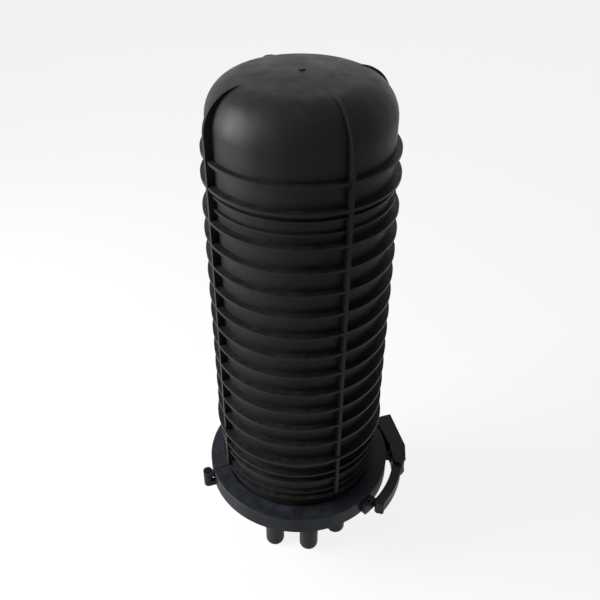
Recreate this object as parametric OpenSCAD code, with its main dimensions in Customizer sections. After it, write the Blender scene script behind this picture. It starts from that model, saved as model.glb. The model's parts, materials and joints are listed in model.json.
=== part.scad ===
// Dome splice closure: a ribbed dome, clamped by a hinged ring to a base with
// closed cable ports, over a steel frame that carries splice trays.
// Millimetres, +Z up. The origin is on the axis, level with the tips of the ports.
// The ring's hinge is on -X and its latch on +X.

/* [Dome] */
// Outer radius of the dome's plain wall
dome_r = 88.1; // [86:0.1:92]
// Thickness of the dome's wall
dome_wall = 3.5; // [2.5:0.1:4]
// Radius to which the crown is dished
crown_r = 421; // [320:1:600]
// Radius of the shoulder between the crown and the wall
shoulder_r = 37; // [30:1:42]
// Number of evenly spaced full ribs
rib_count = 11; // [10:1:13]
// Distance from one full rib to the next
rib_pitch = 24.85; // [24:0.05:28]
// How far a full rib stands out of the wall
rib_h = 7.6; // [5:0.1:9]
// Thickness of a full rib at its edge
rib_t = 3; // [2:0.1:4]
// Height of the lowest full rib above the seam
skirt_h = 116; // [110:1:130]
// Space between the topmost even rib and the ribs of the head
head_gap = 35; // [32:1:42]
// Height of the apex above the topmost rib
head_h = 68; // [64:1:80]
// Thickness of a vertical fin
fin_t = 3.7; // [2.5:0.1:5]
// Radius on the crown at which the fins start
fin_start_r = 62; // [58:1:68]
// Angle by which the fins are turned from the hinge line
fin_turn = 8.5; // [0:0.5:20]

/* [Ports] */
// Length of the ports below the base plate
port_len = 98; // [80:1:120]
// Outer radius of a round port
port_r = 11.7; // [9:0.1:13]
// Wall thickness of the ports
port_wall = 2.5; // [1.5:0.1:3.5]
// Radius of the circle that the ports stand on
port_circle_r = 57.5; // [56:0.5:62]
// Number of round ports
round_ports = 6; // [6]
// Direction of the first round port, from the front towards the latch
first_port_a = -95.3; // [-100:0.1:-90]
// Half the width of the oval port
oval_r = 14; // [12:0.5:15]
// Distance between the centres of the oval port's round ends
oval_span = 32; // [26:1:34]

/* [Base] */
// Thickness of the base plate
plate_t = 5; // [4:0.5:7]
// Depth of the webs under the base plate
web_h = 9; // [5:1:14]
// Thickness of the webs under the base plate
web_t = 3; // [2:0.5:4]
// Height of the rim that locates the dome
spigot_h = 10; // [6:1:14]

/* [Clamp ring] */
// How far the flanges stand out of the dome's wall
flange_out = 15.9; // [14:0.1:18]
// Thickness of a flange at its root
flange_t = 6.4; // [5.5:0.1:7]
// Angle of the flanges' sloping faces
clamp_taper = 12.5; // [8:0.5:15]
// Height of the clamp ring
clamp_h = 23; // [22:0.5:27]
// Thickness of the clamp ring's outer wall
clamp_wall = 6; // [5:0.5:8]
// Radius of the hinge barrel
barrel_r = 5.5; // [5:0.1:6.5]
// Radius of the hinge pin
hinge_pin_r = 2.5; // [1.5:0.1:3]

/* [Latch] */
// Thickness of the lever, seen from above
lever_t = 11.5; // [9:0.5:13]
// Height of the lever
lever_h = 17; // [15:0.5:18]
// Finger gap between the lever and the ring
finger_gap = 8.5; // [7:0.5:10]
// Angle that the lever reaches back along the ring
lever_reach = 59; // [56:1:66]
// Distance from the lever's pivot to its link pin
lever_arm = 15.1; // [15:0.1:16]
// Radius of the latch pins
latch_pin_r = 2.2; // [1.6:0.1:2.6]
// Thickness of the link's two plates
link_t = 3.5; // [2.5:0.5:4]

/* [Splice trays] */
// Width of a tray
tray_w = 105; // [96:1:110]
// Height of a tray
tray_h = 290; // [250:1:300]
// Depth of a tray's pan
tray_d = 9.6; // [7:0.1:10]
// Thickness of a tray's clear lid
lid_t = 1.4; // [1:0.1:2]
// Thickness of a tray's floor and walls
tray_wall = 1.5; // [1:0.1:2]
// Height of the trays above the seam
tray_lift = 40; // [36:1:50]
// Outer radius of a fibre drum
drum_r = 28; // [24:0.5:30]

/* [Frame and basket] */
// Width of the tray frame
frame_w = 96; // [90:1:100]
// Thickness of the frame's sheet
sheet_t = 2; // [1.5:0.1:2.5]
// Width of the frame's foot
foot_w = 44; // [40:1:46]
// Depth of the storage basket
basket_d = 54; // [40:1:58]
// Height of the storage basket
basket_h = 200; // [150:1:240]
// Thickness of the basket's walls
basket_wall = 2; // [1.5:0.1:2.5]

/* [Clearances] */
// Gap between the clamp, the flanges and the dome
clamp_gap = 0.3; // [0.2:0.05:0.4]
// Radial gap of a pin in its bore
pin_gap = 0.05; // [0.02:0.01:0.1]
// Gap between pieces of the latch, above and below
latch_gap = 0.4; // [0.3:0.05:0.6]

/* [Hidden] */

$fn = 96;
fine_fn = 720;      // segments of the crown's long arc

// Levels
plate_z = port_len;
seam_rise = 7;      // the base flange's top above the base plate
plate_top = plate_z + plate_t;
seam_z = plate_top + seam_rise;
dome_foot = seam_z + clamp_gap;

// Ribs of the dome
first_rib_z = seam_z + skirt_h;
last_rib_z = first_rib_z + (rib_count - 1) * rib_pitch;
head_rib_z = last_rib_z + head_gap;
top_rib_z = head_rib_z + rib_pitch;
top_z = top_rib_z + head_h;
rib_draft = 0.35;   // a moulded rib is this much wider each side at its root
ring_t = 2.2;       // thickness of the low rings
head_ring_step = 13;
head_ring_h = 3.4;
top_rib_h = rib_h - 1.8;
// Height above the seam and stand-out of each ring on the skirt
skirt_rings = [[28.5, 6.2], [36, 3.6], [55, 5.4], [68, 6.6], [81.5, 4]];
skirt_rib = [89, 9.2];
fin_r = dome_r + rib_h;
fin_sine = fin_start_r / crown_r;
fin_shoulder = (fin_r - fin_start_r) / (1 - fin_sine);
fin_foot = seam_z + skirt_rings[0][0];
gate_r = 3.2;
gate_h = 1.2;

// Flanges and clamp ring
lip_gap = 2.4;      // from the dome's wall to the ring's upper lip
taper = tan(clamp_taper);
flange_r = dome_r + flange_out;
upper_lip_r = dome_r + lip_gap;
lower_lip_r = upper_lip_r + 5.5;
plate_r = lower_lip_r - 0.7;
groove_r = flange_r + 0.5;
clamp_r = groove_r + clamp_wall;
clamp_low = seam_z - clamp_h / 2;
clamp_high = seam_z + clamp_h / 2;
clamp_edge = 0.9;   // bevel of the ring's outer edges
parting = 0.4;      // half the gap between the ring's halves
upper_root_z = dome_foot + flange_t;
upper_rim_z = upper_root_z - (flange_r - upper_lip_r) * taper;
lower_root_z = seam_z - flange_t - clamp_gap;
lower_rim_z = lower_root_z + (flange_r - lower_lip_r) * taper;

// Seal and its groove
seal_r = (dome_r + flange_r) / 2;
seal_w = 4;
seal_depth = 3;

// Locating rim
spigot_wall = 2.5;
spigot_r = dome_r - dome_wall - 0.8;

// Hinge
hinge_x = -(clamp_r + barrel_r + 2);
knuckle_gap = 0.3;
knuckle_h = (clamp_h - 2 * knuckle_gap) / 3;
rear_knuckle_z = clamp_low + knuckle_h + knuckle_gap;
hinge_head_r = barrel_r - 1.2;
hinge_head_t = 1.2;

// Ports
port_step = 45;
oval_a = first_port_a + (round_ports + 0.5) * port_step;
tip_round = 7;      // rounding of the port tips
port_floor = 3;
web_in_r = 42;

// Latch
pivot = polar(clamp_r + 12, -20);
link_pin = pivot + polar(lever_arm, 262.4);
bar = [clamp_r + 9.5, 11];
bar_r = 2.2;
boss_r = 7.2;
strip_inset = 1;    // a strip or round end is this much slimmer than what it joins
ear_t = 4.2;        // thickness of the lever's two ears
pivot_knuckle_r = 5.6;
knuckle_slot_r = 9;
lever_low = seam_z - lever_h / 2;
lever_high = seam_z + lever_h / 2;
lever_in_r = clamp_r + finger_gap;
lever_out_r = lever_in_r + lever_t;
lever_start_a = 23; // where the lever's band meets its boss
lever_lip = 3;      // thumb lip at the lever's tip
link_low = lever_low - latch_gap - link_t;
link_high = lever_high + latch_gap;
link_out = clamp_r + 24;
web_inset = 3.2;    // thickness of the link's outer wall
web_rise = 13;      // its wall starts this far past the pivot
link_shoulder = 8;
catch_a = [-67, -58];
nose_high = lever_high - 0.4;
nose_low = lever_low + 0.4;

// Air valve and earth stud
valve_flange_r = 8;
valve_flange_t = 4;
valve_stem_r = 4;
valve_stem_len = 14;
valve_nut_r = 8.5;
valve_nut_t = 5;
cap_r = 5.6;
cap_len = 11;
earth_r = 3;
earth_at = polar(33, first_port_a - 90 + 2.5 * port_step);
earth_nut_r = 5.5;
earth_nut_t = 4.5;
earth_len = 12;

// Tray frame
boss_h = 8;
screw_boss_r = 4.5;
foot_z = plate_top + boss_h;
back_y = -6;        // front face of the frame's back plate
neck_h = 24;
side_flange = 8;
frame_top = seam_z + tray_lift + tray_h + 10;
foot_depth = 26;
foot_holes = [[-15, 1], [15, 1], [-15, 14], [15, 14]];
screw_r = 2;
hole_gap = 0.2;
screw_head_r = 3.8;
screw_head_t = 2.4;
frame_window = [60, 62];
window_pitch = 86;

// Trays
tray_count = 4;
tray_z = seam_z + tray_lift;
tray_pitch = tray_d + lid_t;
tray_corner = 14;
stud_r = 2;
stud_inset = 12;
stud_boss_r = 5;
drum_wall = 1.6;
drum_h = 6.5;
drum_inset = 66;
tab_w = 14;
tab_in = 7;
tab_t = 1.2;
entry_w = 16;
holder_w = 44;
holder_h = 62;
holder_t = 1.2;
holder_rib_h = 5.5;
holder_ribs = 10;
nut_r = 4;
nut_t = 3.2;
stud_tail = 6;

// Basket
basket_w = frame_w - 2 * sheet_t - 2 * clamp_gap;
basket_lift = 26;
basket_z = seam_z + basket_lift;
slot_margin = 20;   // solid wall above and below the basket's slots
basket_y = back_y + sheet_t;
slot_w = 10;
slot_pitch = 22;

// Cable clamps
cable_clamp_r = 38;
clamp_post = [8, 9, 24];
clamp_slot_w = 3.4;
clamp_slot_h = 12;
clamp_foot = [13, 12, 3];
clamp_screw_depth = 3;
clamp_screw_out = 1; // the screw lies this much further out than the foot's middle

function polar(r, a) = [r * cos(a), r * sin(a)];
// Direction of round port k, as an angle from +X
function port_a(k) = first_port_a - 90 + k * port_step;

// ---- Shared profiles ----

// Half section of a dished dome, from its foot to its apex
module dome_section(r, shoulder, dish, top, foot) {
    a = asin((r - shoulder) / (dish - shoulder));
    dish_z = top - dish;
    shoulder_z = dish_z + (dish - shoulder) * cos(a);
    reach = dish + 5;
    translate([0, foot])
        square([r, shoulder_z - foot]);
    translate([r - shoulder, shoulder_z])
        circle(r = shoulder, $fn = fine_fn / 4);
    intersection() {
        translate([0, dish_z])
            circle(r = dish, $fn = fine_fn);
        polygon([[0, shoulder_z - 1], [r - shoulder, shoulder_z - 1],
            [r - shoulder, shoulder_z], [reach * sin(a), dish_z + reach * cos(a)],
            [0, top + 5]]);
    }
}

// Half section of the dome, shrunk by an inset from its outer face
module dome_profile(inset, foot) {
    dome_section(dome_r - inset, shoulder_r - inset, crown_r - inset, top_z - inset, foot);
}

// Section of one rib, a little wider at its root
module rib_section(z, out, t) {
    root = dome_r - dome_wall / 2;
    polygon([[root, z - t / 2 - rib_draft], [dome_r + out, z - t / 2],
        [dome_r + out, z + t / 2], [root, z + t / 2 + rib_draft]]);
}

module rounded_rect(w, h, r) {
    translate([-w / 2 + r, -h / 2])
        square([w - 2 * r, h]);
    translate([-w / 2, -h / 2 + r])
        square([w, h - 2 * r]);
    for (x = [-1, 1], y = [-1, 1])
        translate([x * (w / 2 - r), y * (h / 2 - r)])
            circle(r = r);
}

// A strip with parallel sides between two points
module strip(a, b, half_w) {
    n = half_w * [a[1] - b[1], b[0] - a[0]] / norm(b - a);
    polygon([a + n, b + n, b - n, a - n]);
}

module hex_nut(r, t, bore_r) {
    linear_extrude(t)
        difference() {
            circle(r = r, $fn = 6);
            circle(r = bore_r);
        }
}

// Screw whose head sits at z = 0 and whose shank points down
module screw(shank_len) {
    rotate_extrude()
        polygon([[0, -shank_len], [screw_r, -shank_len], [screw_r, 0],
            [screw_head_r, 0], [screw_head_r, screw_head_t * 0.6],
            [screw_head_r * 0.7, screw_head_t], [0, screw_head_t]]);
}

// ---- Dome ----

module dome_fins() {
    intersection() {
        rotate_extrude()
            difference() {
                dome_section(fin_r, fin_shoulder, crown_r, top_z, fin_foot);
                dome_profile(dome_wall / 2, fin_foot - 1);
            }
        rotate([0, 0, fin_turn])
            for (a = [0, 90])
                rotate([0, 0, a])
                    translate([-fin_r - 1, -fin_t / 2, fin_foot - 1])
                        cube([2 * fin_r + 2, fin_t, top_z - fin_foot + 2]);
    }
}

module dome_flange_section() {
    polygon([[dome_r - dome_wall / 2, dome_foot], [flange_r, dome_foot],
        [flange_r, upper_rim_z], [upper_lip_r, upper_root_z],
        [upper_lip_r - 1, upper_root_z], [dome_r, upper_root_z + 1.6],
        [dome_r - dome_wall / 2, upper_root_z + 1.6]]);
}

module dome() {
    color([0.09, 0.095, 0.09]) {
        difference() {
            union() {
                rotate_extrude() {
                    dome_profile(0, dome_foot);
                    dome_flange_section();
                    for (k = [0 : rib_count - 1])
                        rib_section(first_rib_z + k * rib_pitch, rib_h, rib_t);
                    for (k = [1, 2])
                        rib_section(last_rib_z + k * head_ring_step, head_ring_h, ring_t);
                    rib_section(head_rib_z, rib_h - 0.4, rib_t);
                    rib_section(top_rib_z, top_rib_h, rib_t);
                    for (ring = skirt_rings)
                        rib_section(seam_z + ring[0], ring[1], ring_t);
                    rib_section(seam_z + skirt_rib[0], skirt_rib[1], rib_t);
                }
                dome_fins();
                translate([0, 0, top_z - 1])
                    cylinder(r = gate_r, h = gate_h + 1);
            }
            rotate_extrude()
                dome_profile(dome_wall, dome_foot - 1);
        }
    }
}

// ---- Base ----

// Half section of a closed port with a rounded tip
module port_section(r) {
    square([r - tip_round, plate_top]);
    translate([r - tip_round, tip_round])
        intersection() {
            circle(r = tip_round);
            translate([0, -tip_round])
                square(tip_round);
        }
    translate([0, tip_round])
        square([r, plate_top - tip_round]);
}

module round_port() {
    rotate_extrude()
        port_section(port_r);
}

// The stadium outline of the oval port, shrunk by an inset
module oval_outline(inset) {
    for (s = [-1, 1])
        translate([0, s * oval_span / 2])
            circle(r = oval_r - inset);
    translate([-oval_r + inset, -oval_span / 2])
        square([2 * (oval_r - inset), oval_span]);
}

module oval_port() {
    for (s = [-1, 1])
        translate([0, s * oval_span / 2, 0])
            rotate_extrude()
                port_section(oval_r);
    translate([0, oval_span / 2, 0])
        rotate([90, 0, 0])
            linear_extrude(oval_span)
                for (m = [0, 1])
                    mirror([m, 0])
                        port_section(oval_r);
}

module base_ring_section() {
    inner = spigot_r - spigot_wall;
    difference() {
        union() {
            polygon([[inner, plate_z], [plate_r, plate_z], [plate_r, lower_root_z],
                [lower_lip_r, lower_root_z], [flange_r, lower_rim_z],
                [flange_r, seam_z], [inner, seam_z]]);
            translate([inner, seam_z - 1])
                square([spigot_wall, spigot_h + 1]);
        }
        translate([seal_r - seal_w / 2, seam_z - seal_depth])
            square([seal_w, seal_depth + 1]);
    }
}

module base() {
    color([0.13, 0.135, 0.14])
        difference() {
            union() {
                rotate_extrude()
                    base_ring_section();
                translate([0, 0, plate_z])
                    cylinder(r = plate_r, h = plate_t);
                for (k = [0 : round_ports - 1])
                    translate(polar(port_circle_r, port_a(k)))
                        round_port();
                rotate([0, 0, oval_a - 90])
                    translate([port_circle_r, 0, 0])
                        oval_port();
                for (k = [0 : round_ports - 2])
                    rotate([0, 0, port_a(k + 0.5)])
                        translate([web_in_r, -web_t / 2, plate_z - web_h])
                            cube([plate_r - web_in_r - 1, web_t, web_h + 1]);
                for (p = foot_holes)
                    translate([p[0], p[1], plate_top - 1])
                        cylinder(r = screw_boss_r, h = boss_h + 1);
            }
            for (k = [0 : round_ports - 1])
                translate(concat(polar(port_circle_r, port_a(k)), port_floor))
                    cylinder(r = port_r - port_wall, h = plate_top);
            rotate([0, 0, oval_a - 90])
                translate([port_circle_r, 0, port_floor + 4])
                    linear_extrude(plate_top)
                        oval_outline(port_wall + 0.7);
            translate([0, 0, plate_z - 1])
                cylinder(r = valve_stem_r + pin_gap, h = plate_t + 2);
            translate(concat(earth_at, plate_z - 1))
                cylinder(r = earth_r + pin_gap, h = plate_t + 2);
            for (p = foot_holes)
                translate([p[0], p[1], plate_top])
                    cylinder(r = screw_r + pin_gap, h = boss_h + 1);
            for (k = [0 : round_ports - 1])
                rotate([0, 0, port_a(k)])
                    translate([cable_clamp_r + clamp_screw_out, 0, plate_top - clamp_screw_depth])
                        cylinder(r = screw_r + pin_gap, h = clamp_screw_depth + 1);
        }
}

module seal_ring() {
    color([0.05, 0.05, 0.055])
        rotate_extrude()
            translate([seal_r, seam_z - seal_depth]) {
                translate([-seal_w / 2 + pin_gap, 0])
                    square([seal_w - 2 * pin_gap, seal_depth - 0.6]);
                translate([-1, 0])
                    square([2, seal_depth + 0.1]);
            }
}

// ---- Clamp ring ----

module clamp_section() {
    polygon([[clamp_r - clamp_edge, clamp_low], [clamp_r, clamp_low + clamp_edge],
        [clamp_r, clamp_high - clamp_edge], [clamp_r - clamp_edge, clamp_high],
        [upper_lip_r, clamp_high], [upper_lip_r, upper_root_z + clamp_gap],
        [groove_r, upper_rim_z + clamp_gap], [groove_r, lower_rim_z - clamp_gap],
        [lower_lip_r, lower_root_z - clamp_gap], [lower_lip_r, clamp_low]]);
}

// Half of the ring: side is -1 at the front and 1 at the rear
module clamp_half_ring(side) {
    difference() {
        rotate_extrude()
            clamp_section();
        translate([-clamp_r - 1, side > 0 ? -clamp_r - 1 : -parting, clamp_low - 1])
            cube([2 * clamp_r + 2, clamp_r + 1 + parting, clamp_h + 2]);
    }
}

// One knuckle of the hinge, with the arm that joins it to its half of the ring
module hinge_knuckle(side, z) {
    arm = -hinge_x - clamp_r + 3;
    translate([hinge_x, 0, z]) {
        cylinder(r = barrel_r, h = knuckle_h);
        translate([0, side > 0 ? parting : -barrel_r, 0])
            cube([arm, barrel_r - parting, knuckle_h]);
    }
}

module hinge_bore() {
    translate([hinge_x, 0, clamp_low - 1])
        cylinder(r = hinge_pin_r + pin_gap, h = clamp_h + 2);
}

// Bracket on the front half that carries the lever's pivot
module pivot_bracket() {
    low = lever_low + ear_t + latch_gap;
    high = lever_high - ear_t - latch_gap;
    root = polar(clamp_r - 2, -20);
    translate([0, 0, low])
        linear_extrude(high - low) {
            strip(root, pivot, pivot_knuckle_r - strip_inset);
            translate(pivot)
                circle(r = pivot_knuckle_r);
        }
}

// Block under the lever's tip, drilled for a locking pin
module lever_catch() {
    mid = (catch_a[0] + catch_a[1]) / 2;
    difference() {
        rotate([0, 0, catch_a[0]])
            rotate_extrude(angle = catch_a[1] - catch_a[0])
                translate([clamp_r - 2, lever_low + 1.5])
                    square([finger_gap + 2 - latch_gap, lever_h - 3]);
        translate(concat(polar(clamp_r + finger_gap / 2, mid), clamp_low))
            cylinder(r = 1.8, h = clamp_h);
    }
}

// Nose on the rear half that the link's bar hooks behind
module latch_nose() {
    back = bar[1] - bar_r - latch_gap;
    translate([0, 0, nose_low])
        linear_extrude(nose_high - nose_low)
            polygon([[clamp_r - 3, parting + 0.6], [bar[0] + 1, parting + 0.6],
                [bar[0] + 3.4, parting + 3], [bar[0] + 3.4, back - 1.2],
                [bar[0] + 2, back - 0.5], [bar[0] - 1, back], [clamp_r - 1, back + 3]]);
}

module clamp_front_half() {
    color([0.07, 0.075, 0.085])
        difference() {
            union() {
                clamp_half_ring(-1);
                hinge_knuckle(-1, clamp_low);
                hinge_knuckle(-1, clamp_high - knuckle_h);
                pivot_bracket();
                lever_catch();
            }
            hinge_bore();
            translate(concat(pivot, clamp_low))
                cylinder(r = latch_pin_r + pin_gap, h = clamp_h);
        }
}

module clamp_rear_half() {
    color([0.07, 0.075, 0.085])
        difference() {
            union() {
                clamp_half_ring(1);
                hinge_knuckle(1, rear_knuckle_z);
                latch_nose();
            }
            hinge_bore();
        }
}

module clamp_hinge_pin() {
    color([0.7, 0.71, 0.72])
        translate([hinge_x, 0, clamp_low]) {
            cylinder(r = hinge_pin_r, h = clamp_h);
            for (z = [-hinge_head_t, clamp_h])
                translate([0, 0, z])
                    cylinder(r = hinge_head_r, h = hinge_head_t);
        }
}

// ---- Latch ----

// The lever before its slot and bores are cut: a band along the ring, the bosses of
// its two pins, and a round tip with a thumb lip that turns outwards
module lever_blank() {
    linear_extrude(lever_h)
        intersection() {
            difference() {
                circle(r = lever_out_r);
                circle(r = lever_in_r);
            }
            polygon([[0, 0], polar(2 * lever_out_r, -lever_reach),
                polar(2 * lever_out_r, -lever_start_a)]);
        }
    linear_extrude(lever_h)
        strip(pivot, link_pin, boss_r - strip_inset);
    for (p = [pivot, link_pin])
        translate(p)
            cylinder(r = boss_r, h = lever_h);
    translate(polar((lever_in_r + lever_out_r) / 2, -lever_reach))
        cylinder(r = lever_t / 2 - strip_inset, h = lever_h);
    translate(polar(lever_out_r - lever_lip / 2, -lever_reach))
        cylinder(r = lever_lip, h = lever_h);
}

module latch_lever() {
    color([0.075, 0.08, 0.09])
        difference() {
            translate([0, 0, lever_low])
                lever_blank();
            // Slot between the ears, for the bracket to swing in
            translate(concat(pivot, lever_low + ear_t))
                cylinder(r = knuckle_slot_r, h = lever_h - 2 * ear_t);
            for (p = [pivot, link_pin])
                translate(concat(p, lever_low - 1))
                    cylinder(r = latch_pin_r + pin_gap, h = lever_h + 2);
        }
}

module link_plate_outline() {
    translate(link_pin)
        circle(r = boss_r);
    strip(link_pin, [link_pin[0] + link_shoulder, pivot[1]], boss_r - strip_inset);
    polygon([[clamp_r + 1.4, bar[1] + 5.5], [clamp_r + 1.4, pivot[1] + link_shoulder],
        link_pin + [-boss_r, 2], link_pin + [boss_r, -4],
        [link_out - 5, pivot[1] + 2], [link_out, bar[1] + 5.5]]);
}

module latch_link() {
    web_low_y = pivot[1] + web_rise;
    color([0.075, 0.08, 0.09])
        difference() {
            union() {
                for (z = [link_low, link_high])
                    translate([0, 0, z])
                        linear_extrude(link_t)
                            link_plate_outline();
                translate(concat(bar, link_low + link_t / 2))
                    cylinder(r = bar_r, h = link_high - link_low);
                translate([0, 0, link_low + link_t / 2])
                    linear_extrude(link_high - link_low)
                        intersection() {
                            link_plate_outline();
                            polygon([[link_out - web_inset - 3.6, web_low_y],
                                [link_out + 1, web_low_y], [link_out + 1, bar[1] + 6],
                                [link_out - web_inset, bar[1] + 6]]);
                        }
            }
            translate(concat(link_pin, link_low - 1))
                cylinder(r = latch_pin_r + pin_gap, h = link_high - link_low + link_t + 2);
        }
}

module latch_pivot_pin() {
    color([0.7, 0.71, 0.72])
        translate(concat(pivot, lever_low))
            cylinder(r = latch_pin_r, h = lever_h);
}

module latch_link_pin() {
    color([0.7, 0.71, 0.72])
        translate(concat(link_pin, link_low))
            cylinder(r = latch_pin_r, h = link_high - link_low + link_t);
}

// ---- Fittings of the base ----

module air_valve() {
    color([0.72, 0.6, 0.3]) {
        translate([0, 0, plate_z - valve_flange_t])
            cylinder(r = valve_flange_r, h = valve_flange_t);
        translate([0, 0, plate_z - valve_flange_t - valve_stem_len])
            cylinder(r = valve_stem_r, h = valve_stem_len + valve_flange_t + plate_t + valve_nut_t + 1);
    }
}

module air_valve_nut() {
    color([0.72, 0.6, 0.3])
        translate([0, 0, plate_top])
            hex_nut(valve_nut_r, valve_nut_t, valve_stem_r + pin_gap);
}

module air_valve_cap() {
    mouth = plate_z - valve_flange_t - valve_stem_len + cap_len - 2;
    color([0.06, 0.06, 0.065])
        difference() {
            translate([0, 0, mouth - cap_len])
                cylinder(r = cap_r, h = cap_len);
            translate([0, 0, mouth - cap_len + 2])
                cylinder(r = valve_stem_r + pin_gap, h = cap_len);
        }
}

module earth_stud() {
    color([0.75, 0.76, 0.77])
        translate(concat(earth_at, plate_z - earth_len))
            cylinder(r = earth_r, h = 2 * earth_len + plate_t);
}

module earth_nuts() {
    color([0.75, 0.76, 0.77])
        for (z = [plate_z - earth_nut_t, plate_top])
            translate(concat(earth_at, z))
                hex_nut(earth_nut_r, earth_nut_t, earth_r + pin_gap);
}

// ---- Tray frame ----

module frame_holes() {
    for (p = foot_holes)
        translate([p[0], p[1], foot_z - 1])
            cylinder(r = screw_r + hole_gap, h = sheet_t + 2);
    for (z = [tray_z + stud_inset, tray_z + tray_h - stud_inset])
        translate([0, back_y - 1, z])
            rotate([-90, 0, 0])
                cylinder(r = stud_r + pin_gap, h = sheet_t + 2);
    for (x = [-1, 1])
        translate([x * basket_w / 3, back_y - 1, basket_z + basket_h / 2])
            rotate([-90, 0, 0])
                cylinder(r = screw_r + pin_gap, h = sheet_t + 2);
}

module tray_frame() {
    shoulder = foot_z + neck_h;
    color([0.66, 0.67, 0.68])
        difference() {
            union() {
                translate([-foot_w / 2, back_y, foot_z])
                    cube([foot_w, foot_depth, sheet_t]);
                translate([-foot_w / 2, back_y, foot_z])
                    cube([foot_w, sheet_t, neck_h + 1]);
                translate([-frame_w / 2, back_y, shoulder])
                    cube([frame_w, sheet_t, frame_top - shoulder]);
                for (x = [-frame_w / 2, frame_w / 2 - sheet_t])
                    translate([x, back_y, shoulder])
                        cube([sheet_t, side_flange + sheet_t, frame_top - shoulder]);
            }
            for (k = [0 : 2])
                translate([0, back_y - 1, tray_z + tray_h / 2 + (k - 1) * window_pitch])
                    translate([0, sheet_t + 2, 0])
                        rotate([90, 0, 0])
                            linear_extrude(sheet_t + 2)
                                rounded_rect(frame_window[0] - (k == 1 ? 24 : 0), frame_window[1], 6);
            frame_holes();
        }
}

module frame_screws() {
    color([0.75, 0.76, 0.77])
        for (p = foot_holes)
            translate([p[0], p[1], foot_z + sheet_t])
                screw(boss_h + sheet_t - 1);
}

module storage_basket() {
    slots = floor((basket_d - 16) / slot_w / 2);
    color([0.16, 0.165, 0.17])
        difference() {
            translate([-basket_w / 2, basket_y, basket_z])
                cube([basket_w, basket_d, basket_h]);
            translate([-basket_w / 2 + basket_wall, basket_y + basket_wall, basket_z + basket_wall])
                cube([basket_w - 2 * basket_wall, basket_d - 2 * basket_wall, basket_h]);
            for (k = [-1.5 : 1.5])
                translate([k * slot_pitch - slot_w / 2, basket_y + basket_d / 2, basket_z + slot_margin])
                    cube([slot_w, basket_d, basket_h - 2 * slot_margin]);
            for (k = [0 : slots - 1])
                translate([-frame_w, basket_y + 16 + k * 2 * slot_w, basket_z + slot_margin])
                    cube([2 * frame_w, slot_w, basket_h - 2 * slot_margin]);
            for (x = [-1, 1])
                translate([x * basket_w / 3, basket_y - 1, basket_z + basket_h / 2])
                    rotate([-90, 0, 0])
                        cylinder(r = screw_r + hole_gap, h = basket_wall + 2);
            // The head of the lower tray stud lies in a hole in the front wall
            translate([0, basket_y - 1, tray_z + stud_inset])
                rotate([-90, 0, 0])
                    cylinder(r = screw_head_r + 0.5, h = basket_wall + 2);
        }
}

module basket_screws() {
    color([0.75, 0.76, 0.77])
        for (x = [-1, 1])
            translate([x * basket_w / 3, basket_y + basket_wall, basket_z + basket_h / 2])
                rotate([-90, 0, 0])
                    screw(basket_wall + sheet_t);
}

// ---- Splice trays ----

// Places what is drawn flat as tray k: its back on the tray before it, facing the front
module tray_place(k) {
    translate([0, back_y - (k - 1) * tray_pitch, tray_z + tray_h / 2])
        rotate([90, 0, 0])
            children();
}

module stud_holes(h) {
    for (s = [-1, 1])
        translate([0, s * (tray_h / 2 - stud_inset), -1])
            cylinder(r = stud_r + pin_gap, h = h + 2);
}

module splice_tray(k) {
    color([0.82, 0.83, 0.82])
        tray_place(k)
            difference() {
                union() {
                    difference() {
                        linear_extrude(tray_d)
                            rounded_rect(tray_w, tray_h, tray_corner);
                        translate([0, 0, tray_wall])
                            linear_extrude(tray_d)
                                rounded_rect(tray_w - 2 * tray_wall, tray_h - 2 * tray_wall,
                                    tray_corner - tray_wall);
                        for (s = [-1, 1])
                            translate([s * (tray_w / 2 - tray_corner - entry_w / 2) - entry_w / 2,
                                -tray_h / 2 - 1, tray_wall])
                                cube([entry_w, tray_wall + 2, tray_d]);
                    }
                    for (s = [-1, 1]) {
                        translate([0, s * (tray_h / 2 - drum_inset), 0])
                            linear_extrude(tray_wall + drum_h)
                                difference() {
                                    circle(r = drum_r);
                                    circle(r = drum_r - drum_wall);
                                }
                        translate([0, s * (tray_h / 2 - stud_inset), 0])
                            cylinder(r = stud_boss_r, h = tray_d);
                        for (y = [-0.3, 0, 0.3])
                            translate([s * (tray_w / 2 - tab_in / 2 - tray_wall / 2), y * tray_h, tray_d - tab_t / 2])
                                cube([tab_in, tab_w, tab_t], center = true);
                    }
                }
                stud_holes(tray_d);
            }
}

module tray_lid(k) {
    color([0.85, 0.9, 0.93, 0.4])
        tray_place(k)
            translate([0, 0, tray_d])
                difference() {
                    linear_extrude(lid_t)
                        rounded_rect(tray_w, tray_h, tray_corner);
                    stud_holes(lid_t);
                }
}

module splice_holder(k) {
    pitch = (holder_w - holder_t) / (holder_ribs - 1);
    color([0.25, 0.42, 0.62])
        tray_place(k)
            translate([-holder_w / 2, -holder_h / 2, tray_wall]) {
                cube([holder_w, holder_h, holder_t]);
                for (i = [0 : holder_ribs - 1])
                    translate([i * pitch, 0, 0])
                        cube([holder_t, holder_h, holder_t + holder_rib_h]);
            }
}

module tray_stud(s) {
    len = sheet_t + tray_count * tray_pitch + stud_tail;
    color([0.75, 0.76, 0.77])
        translate([0, back_y + sheet_t, tray_z + tray_h / 2 + s * (tray_h / 2 - stud_inset)])
            rotate([90, 0, 0]) {
                cylinder(r = stud_r, h = len);
                translate([0, 0, -screw_head_t])
                    cylinder(r = screw_head_r, h = screw_head_t);
            }
}

module tray_nuts() {
    color([0.75, 0.76, 0.77])
        for (s = [-1, 1])
            tray_place(tray_count + 1)
                translate([0, s * (tray_h / 2 - stud_inset), 0])
                    hex_nut(nut_r, nut_t, stud_r + pin_gap);
}

// ---- Cable clamps ----

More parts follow.
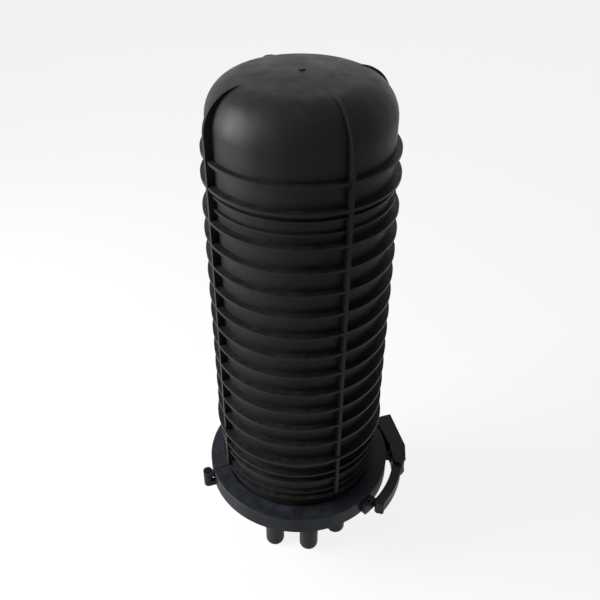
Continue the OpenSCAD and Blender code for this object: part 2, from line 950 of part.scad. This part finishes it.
module cable_clamp(k) {
    color([0.68, 0.69, 0.7])
        rotate([0, 0, port_a(k - 1)])
            translate([cable_clamp_r, 0, plate_top])
                difference() {
                    union() {
                        translate([-clamp_foot[0] / 2, -clamp_foot[1] / 2, 0])
                            cube(clamp_foot);
                        translate([-clamp_foot[0] / 2, -clamp_post[1] / 2, 0])
                            cube([3, clamp_post[1], clamp_post[2]]);
                    }
                    translate([-clamp_foot[0], -clamp_slot_w / 2, clamp_post[2] - clamp_slot_h])
                        cube([2 * clamp_foot[0], clamp_slot_w, clamp_slot_h + 1]);
                    translate([clamp_screw_out, 0, -1])
                        cylinder(r = screw_r + hole_gap, h = clamp_foot[2] + 2);
                }
}

module cable_clamp_screws() {
    color([0.75, 0.76, 0.77])
        for (k = [0 : round_ports - 1])
            rotate([0, 0, port_a(k)])
                translate([cable_clamp_r + clamp_screw_out, 0, plate_top + clamp_foot[2]])
                    screw(clamp_foot[2] + clamp_screw_depth - 0.5);
}

dome();
base();
seal_ring();
clamp_front_half();
clamp_rear_half();
clamp_hinge_pin();
latch_lever();
latch_link();
latch_pivot_pin();
latch_link_pin();
air_valve();
air_valve_nut();
air_valve_cap();
earth_stud();
earth_nuts();
tray_frame();
frame_screws();
storage_basket();
basket_screws();
tray_stud(1);  // tray_stud_upper
tray_stud(-1);  // tray_stud_lower
tray_nuts();
splice_tray(1);  // splice_tray_1
splice_tray(2);  // splice_tray_2
splice_tray(3);  // splice_tray_3
splice_tray(4);  // splice_tray_4
tray_lid(1);  // tray_lid_1
tray_lid(2);  // tray_lid_2
tray_lid(3);  // tray_lid_3
tray_lid(4);  // tray_lid_4
splice_holder(1);  // splice_holder_1
splice_holder(2);  // splice_holder_2
splice_holder(3);  // splice_holder_3
splice_holder(4);  // splice_holder_4
cable_clamp(1);  // cable_clamp_1
cable_clamp(2);  // cable_clamp_2
cable_clamp(3);  // cable_clamp_3
cable_clamp(4);  // cable_clamp_4
cable_clamp(5);  // cable_clamp_5
cable_clamp(6);  // cable_clamp_6
cable_clamp_screws();
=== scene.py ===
import json
import math

import bmesh
import bpy
from mathutils import Matrix, Vector


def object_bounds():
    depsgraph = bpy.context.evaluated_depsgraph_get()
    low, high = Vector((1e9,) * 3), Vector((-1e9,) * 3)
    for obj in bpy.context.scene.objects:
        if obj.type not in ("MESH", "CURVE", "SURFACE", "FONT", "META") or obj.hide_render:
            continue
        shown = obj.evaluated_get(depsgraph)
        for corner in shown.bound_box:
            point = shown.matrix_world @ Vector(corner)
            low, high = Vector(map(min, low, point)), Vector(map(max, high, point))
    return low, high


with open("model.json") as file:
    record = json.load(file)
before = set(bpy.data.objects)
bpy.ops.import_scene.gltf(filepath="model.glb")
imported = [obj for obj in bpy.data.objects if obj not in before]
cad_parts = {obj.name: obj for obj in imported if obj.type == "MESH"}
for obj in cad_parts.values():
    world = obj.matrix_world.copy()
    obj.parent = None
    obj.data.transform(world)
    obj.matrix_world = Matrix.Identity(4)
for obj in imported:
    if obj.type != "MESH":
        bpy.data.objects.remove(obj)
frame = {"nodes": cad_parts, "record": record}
nodes = frame["nodes"]
cadLow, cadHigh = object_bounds()
print("frame loaded")

# Materials. Every pattern is measured in millimetres on the object itself.

mmPerMetre = 1000
even = (1, 1, 1)
# Where a colour mix keeps its amount and its two colours, and which output has the result
mixAmount, mixFrom, mixTo, mixResult = 0, 6, 7, 2


def hexColour(text):
    # Hex colours are written for a screen, and shaders want them in linear light
    channels = [int(text[i:i + 2], 16) / 255 for i in (1, 3, 5)]
    linear = [c / 12.92 if c <= 0.04045 else ((c + 0.055) / 1.055) ** 2.4 for c in channels]
    return (*linear, 1.0)


def addNode(tree, kind, inputs=None, **settings):
    node = tree.nodes.new(kind)
    for name, value in settings.items():
        setattr(node, name, value)
    for name, value in (inputs or {}).items():
        if isinstance(value, bpy.types.NodeSocket):
            tree.links.new(value, node.inputs[name])
        else:
            node.inputs[name].default_value = value
    return node


def newMaterial(name, patterns, spans):
    # A pattern is its blotch size, detail and stretch. A span says which pattern it takes, the
    # part of its range that counts, and the values that part is turned into.
    material = bpy.data.materials.new(name)
    material.use_nodes = True
    tree = material.node_tree
    place = addNode(tree, "ShaderNodeTexCoord").outputs["Object"]
    fields = {}
    for key, (sizeMm, detail, stretch) in patterns.items():
        scaled = addNode(tree, "ShaderNodeMapping", {"Vector": place, "Scale": [1 / s for s in stretch]})
        fields[key] = addNode(tree, "ShaderNodeTexNoise", {
            "Vector": scaled.outputs["Vector"], "Scale": mmPerMetre / sizeMm, "Detail": detail,
        }).outputs["Fac"]
    for key, (source, (fromLow, fromHigh), (toLow, toHigh)) in spans.items():
        fields[key] = addNode(tree, "ShaderNodeMapRange", {
            "Value": fields[source], "From Min": fromLow, "From Max": fromHigh,
            "To Min": toLow, "To Max": toHigh,
        }).outputs["Result"]
    return material, tree, tree.nodes["Principled BSDF"], fields


def mouldedPlastic(spec):
    # Moulded polymer: uneven tone from the melt, a fine spark-eroded grain, and dust on top
    material, tree, shader, fields = newMaterial(spec["name"], spec["patterns"], {
        "tone": ("clouds", spec["cloudSpan"], (0.0, 1.0)),
        "settled": ("dust", spec["dustSpan"], (0.0, 1.0)),
        "rough": ("smear", spec["smearSpan"], spec["rough"]),
    })
    normal = addNode(tree, "ShaderNodeNewGeometry").outputs["Normal"]
    upward = addNode(tree, "ShaderNodeSeparateXYZ", {"Vector": normal}).outputs["Z"]
    level, flat = spec["dustSlope"]
    resting = addNode(tree, "ShaderNodeMapRange", {
        "Value": upward, "From Min": level, "From Max": flat, "To Min": 0.0, "To Max": spec["dustAmount"],
    }).outputs["Result"]
    dust = addNode(tree, "ShaderNodeMath", {0: resting, 1: fields["settled"]}, operation="MULTIPLY")
    clean = addNode(tree, "ShaderNodeMix", {
        mixAmount: fields["tone"], mixFrom: hexColour(spec["dark"]), mixTo: hexColour(spec["light"]),
    }, data_type="RGBA")
    dusty = addNode(tree, "ShaderNodeMix", {
        mixAmount: dust.outputs[0], mixFrom: clean.outputs[mixResult], mixTo: hexColour(spec["dust"]),
    }, data_type="RGBA")
    grain = addNode(tree, "ShaderNodeBump", {
        "Height": fields["grain"], "Strength": spec["grainStrength"],
        "Distance": spec["grainDepthMm"] / mmPerMetre,
    })
    waves = addNode(tree, "ShaderNodeBump", {
        "Height": fields["waves"], "Strength": spec["waveStrength"],
        "Distance": spec["waveDepthMm"] / mmPerMetre, "Normal": grain.outputs["Normal"],
    })
    tree.links.new(dusty.outputs[mixResult], shader.inputs["Base Color"])
    tree.links.new(fields["rough"], shader.inputs["Roughness"])
    tree.links.new(waves.outputs["Normal"], shader.inputs["Normal"])
    shader.inputs["IOR"].default_value = spec["ior"]
    shader.inputs["Specular IOR Level"].default_value = spec["specular"]
    return material


def metal(spec):
    # Worked metal: fine parallel marks and a faint cloudiness from the plating or the tool
    material, tree, shader, fields = newMaterial(spec["name"], spec["patterns"], {
        "tone": ("clouds", spec["cloudSpan"], (0.0, 1.0)),
        "rough": ("marks", spec["markSpan"], spec["rough"]),
    })
    tone = addNode(tree, "ShaderNodeMix", {
        mixAmount: fields["tone"], mixFrom: hexColour(spec["dark"]), mixTo: hexColour(spec["light"]),
    }, data_type="RGBA")
    bump = addNode(tree, "ShaderNodeBump", {
        "Height": fields["marks"], "Strength": spec["markStrength"],
        "Distance": spec["markDepthMm"] / mmPerMetre,
    })
    tree.links.new(tone.outputs[mixResult], shader.inputs["Base Color"])
    tree.links.new(fields["rough"], shader.inputs["Roughness"])
    tree.links.new(bump.outputs["Normal"], shader.inputs["Normal"])
    shader.inputs["Metallic"].default_value = 1.0
    return material


def clearSheet(spec):
    # Clear polycarbonate: see-through, with light scuffs that cloud the gloss
    material, tree, shader, fields = newMaterial(spec["name"], spec["patterns"], {
        "rough": ("scuffs", spec["scuffSpan"], spec["rough"]),
        "tint": ("scuffs", spec["tintSpan"], (0.0, 1.0)),
    })
    tint = addNode(tree, "ShaderNodeMix", {
        mixAmount: fields["tint"], mixFrom: hexColour(spec["light"]), mixTo: hexColour(spec["dark"]),
    }, data_type="RGBA")
    tree.links.new(fields["rough"], shader.inputs["Roughness"])
    tree.links.new(tint.outputs[mixResult], shader.inputs["Base Color"])
    shader.inputs["IOR"].default_value = spec["ior"]
    shader.inputs["Transmission Weight"].default_value = 1.0
    return material


# Black polyolefin of the dome: soft sheen, a dusty greenish crown
domeFinish = {
    "name": "moulded polyolefin, dome", "dark": "#111211", "light": "#181918", "dust": "#6d716a",
    "patterns": {
        "clouds": (45, 3.0, even), "dust": (9, 6.0, even), "smear": (16, 4.0, (1, 1, 4)),
        "grain": (0.9, 2.0, even), "waves": (30, 1.0, even),
    },
    "cloudSpan": (0.35, 0.65), "dustSpan": (0.42, 0.72), "dustSlope": (0.5, 1.0),
    "smearSpan": (0.3, 0.7), "dustAmount": 0.06, "rough": (0.39, 0.53), "grainStrength": 0.35,
    "grainDepthMm": 0.05, "waveStrength": 0.3, "waveDepthMm": 0.35, "ior": 1.5, "specular": 0.12,
}
# The base is moulded from the same stock, a little bluer
baseFinish = domeFinish | {
    "name": "moulded polyolefin, base", "dark": "#1a1b1d", "light": "#222427", "dustAmount": 0.12,
}
# Glass-filled nylon of the clamp ring: bluish black, drier, with a visible short-fibre grain
clampFinish = domeFinish | {
    "name": "glass-filled nylon, clamp", "dark": "#131519", "light": "#1b1e24", "dust": "#565a60",
    "patterns": domeFinish["patterns"] | {"clouds": (22, 3.0, even), "grain": (1.3, 2.0, even)},
    "dustAmount": 0.10, "rough": (0.43, 0.57), "grainDepthMm": 0.07,
}
# The latch is handled more than the ring, which leaves it a little shinier
latchFinish = clampFinish | {"name": "glass-filled nylon, latch", "rough": (0.37, 0.51)}
# Polyethylene of the valve's cap: smooth and slightly waxy
capFinish = domeFinish | {
    "name": "moulded polyethylene, cap", "dustAmount": 0.05, "rough": (0.33, 0.47),
}
# ABS of the slack basket: an even dark grey with a low sheen
basketFinish = domeFinish | {
    "name": "moulded ABS, basket", "dark": "#303236", "light": "#3a3d41", "dustAmount": 0.04,
    "rough": (0.35, 0.49),
}
# ABS of the trays: pale grey, the brightest plastic inside
trayFinish = domeFinish | {
    "name": "moulded ABS, tray", "dark": "#c9cbc8", "light": "#d8dad6", "dust": "#bdbdb6",
    "dustAmount": 0.08, "rough": (0.31, 0.45), "specular": 0.5,
}
# Polypropylene of the splice holders: mid blue
holderFinish = domeFinish | {
    "name": "moulded polypropylene, splice holder", "dark": "#2a5487", "light": "#336199",
    "dust": "#7f92a8", "dustAmount": 0.05, "rough": (0.33, 0.47), "specular": 0.5,
}
# Silicone rubber of the seal: the dullest of all
sealFinish = domeFinish | {
    "name": "silicone rubber, seal", "dark": "#151515", "light": "#1d1d1d", "dustAmount": 0.1,
    "patterns": domeFinish["patterns"] | {"grain": (0.6, 2.0, even)},
    "rough": (0.55, 0.69), "ior": 1.42,
}
# Turned stainless steel of the screws and studs: pale, with rings left by the tool
steelFinish = {
    "name": "turned stainless steel", "dark": "#a9abad", "light": "#c3c5c6",
    "patterns": {"clouds": (6, 3.0, even), "marks": (0.5, 2.0, (6, 6, 1))},
    "cloudSpan": (0.35, 0.65), "markSpan": (0.3, 0.7), "rough": (0.24, 0.38),
    "markStrength": 0.25, "markDepthMm": 0.03,
}
# The pins of the hinge and latch are blackened, so no bright metal shows on the ring
pinFinish = steelFinish | {
    "name": "blackened steel", "dark": "#17181a", "light": "#202225", "rough": (0.36, 0.50),
}
# Zinc-plated sheet of the frame: cool grey, its marks drawn out up the frame
sheetFinish = steelFinish | {
    "name": "zinc-plated sheet steel", "dark": "#9a9d9f", "light": "#b9bcbd",
    "patterns": {"clouds": (14, 3.0, even), "marks": (0.8, 2.0, (1, 1, 12))},
    "rough": (0.30, 0.44),
}
# Turned brass of the valve: warm yellow with fine tool rings
brassFinish = steelFinish | {
    "name": "turned brass", "dark": "#a8853f", "light": "#c49c52",
    "patterns": {"clouds": (5, 3.0, even), "marks": (0.5, 2.0, (6, 6, 1))},
    "rough": (0.22, 0.36),
}
# Clear polycarbonate of the tray lids: faintly blue at the scuffs
lidFinish = {
    "name": "clear polycarbonate", "dark": "#d5dde0", "light": "#eef4f6",
    "patterns": {"scuffs": (8, 5.0, (1, 6, 1))}, "scuffSpan": (0.45, 0.75),
    "tintSpan": (0.4, 0.8), "rough": (0.08, 0.20), "ior": 1.58,
}

finishes = {
    "dome_plastic": mouldedPlastic(domeFinish),
    "base_plastic": mouldedPlastic(baseFinish),
    "seal_rubber": mouldedPlastic(sealFinish),
    "clamp_plastic": mouldedPlastic(clampFinish),
    "latch_plastic": mouldedPlastic(latchFinish),
    "steel": metal(steelFinish),
    "frame_steel": metal(sheetFinish),
    "valve_brass": metal(brassFinish),
    "cap_plastic": mouldedPlastic(capFinish),
    "basket_plastic": mouldedPlastic(basketFinish),
    "tray_plastic": mouldedPlastic(trayFinish),
    "lid_clear": clearSheet(lidFinish),
    "holder_plastic": mouldedPlastic(holderFinish),
}
for part in frame["record"]["subparts"]:
    nodes[part["node"]].material_slots[0].material = finishes[part["material_slot"]]
blackened = metal(pinFinish)
for name in ("clamp_hinge_pin", "latch_pivot_pin", "latch_link_pin"):
    nodes[name].material_slots[0].material = blackened
print("materials assigned")

# Camera: above the closure and looking down at it, turned a little towards the hinge

view = {
    "azimuth": -19.0, "distance": 0.620, "height": 0.8054, "pitch": 36.1, "roll": 0.46,
    "lens": 42.68, "sensor": 36.0, "nearClip": 0.01,
}


def aroundAxis(turn, distance, height):
    # A place around the closure, where a turn of 0 is the camera's side and 90 is on its right
    angle = math.radians(turn + view["azimuth"])
    return Vector((distance * math.sin(angle), -distance * math.cos(angle), height))


def addCamera():
    camera = bpy.data.objects.new("camera", bpy.data.cameras.new("camera"))
    camera.data.lens = view["lens"]
    camera.data.sensor_width = view["sensor"]
    camera.data.clip_start = view["nearClip"]
    turn = Matrix.Rotation(math.radians(view["azimuth"]), 4, "Z")
    tilt = Matrix.Rotation(math.radians(90 - view["pitch"]), 4, "X")
    roll = Matrix.Rotation(math.radians(view["roll"]), 4, "Z")
    place = Matrix.Translation(aroundAxis(0, view["distance"], view["height"]))
    camera.matrix_world = place @ turn @ tilt @ roll
    bpy.context.scene.collection.objects.link(camera)
    bpy.context.scene.camera = camera


addCamera()

# Studio: a pale floor under a white surround, lit by a tall soft panel on the left

leftPanel = {
    "name": "left panel", "turn": -82, "distance": 1.1, "height": 0.75, "aim": 0.33,
    "size": (0.7, 1.1), "power": 38.8,
}
paperFloor = {
    "name": "matt white paper", "colour": "#e6e6e6", "rough": 0.9, "halfWidth": 6.0,
    "drop": 0.0002, "glow": 0.86,
}
surround = {"lighting": "#77797c", "seen": "#ffffff"}


def addLamp(spec):
    lamp = bpy.data.objects.new(spec["name"], bpy.data.lights.new(spec["name"], "AREA"))
    lamp.data.shape = "RECTANGLE"
    lamp.data.size, lamp.data.size_y = spec["size"]
    lamp.data.energy = spec["power"]
    place = aroundAxis(spec["turn"], spec["distance"], spec["height"])
    facing = (Vector((0, 0, spec["aim"])) - place).to_track_quat("-Z", "Y")
    lamp.matrix_world = Matrix.Translation(place) @ facing.to_matrix().to_4x4()
    bpy.context.scene.collection.objects.link(lamp)


def seenDirectly(tree):
    # 1 for what the eye, a gloss or clear plastic sees, 0 for what only lights the object
    path = addNode(tree, "ShaderNodeLightPath")
    direct = addNode(tree, "ShaderNodeMath", {
        0: path.outputs["Is Camera Ray"], 1: path.outputs["Is Transmission Ray"],
    }, operation="MAXIMUM")
    return addNode(tree, "ShaderNodeMath", {
        0: direct.outputs[0], 1: path.outputs["Is Glossy Ray"],
    }, operation="MAXIMUM").outputs[0]


def addFloor(spec):
    mesh = bpy.data.meshes.new("floor")
    plane = bmesh.new()
    bmesh.ops.create_grid(plane, x_segments=1, y_segments=1, size=spec["halfWidth"])
    plane.to_mesh(mesh)
    plane.free()
    floor = bpy.data.objects.new("floor", mesh)
    bpy.context.scene.collection.objects.link(floor)
    floor.location.z = cadLow[2] - spec["drop"]
    material, tree, shader, _ = newMaterial(spec["name"], {}, {})
    shader.inputs["Base Color"].default_value = hexColour(spec["colour"])
    shader.inputs["Roughness"].default_value = spec["rough"]
    glow = addNode(tree, "ShaderNodeEmission", {"Color": hexColour("#ffffff"), "Strength": 1.0})
    share = addNode(tree, "ShaderNodeMath", {
        0: seenDirectly(tree), 1: spec["glow"],
    }, operation="MULTIPLY")
    mix = addNode(tree, "ShaderNodeMixShader", {
        0: share.outputs[0], 1: shader.outputs[0], 2: glow.outputs[0],
    })
    tree.links.new(mix.outputs[0], tree.nodes["Material Output"].inputs["Surface"])
    mesh.materials.append(material)


def lightWorld(spec):
    world = bpy.data.worlds.new("studio")
    bpy.context.scene.world = world
    world.use_nodes = True
    tree = world.node_tree
    colour = addNode(tree, "ShaderNodeMix", {
        mixAmount: seenDirectly(tree), mixFrom: hexColour(spec["lighting"]), mixTo: hexColour(spec["seen"]),
    }, data_type="RGBA")
    tree.links.new(colour.outputs[mixResult], tree.nodes["Background"].inputs["Color"])


addLamp(leftPanel)
addFloor(paperFloor)
lightWorld(surround)
bpy.context.scene.view_settings.view_transform = "Standard"
print("studio set")
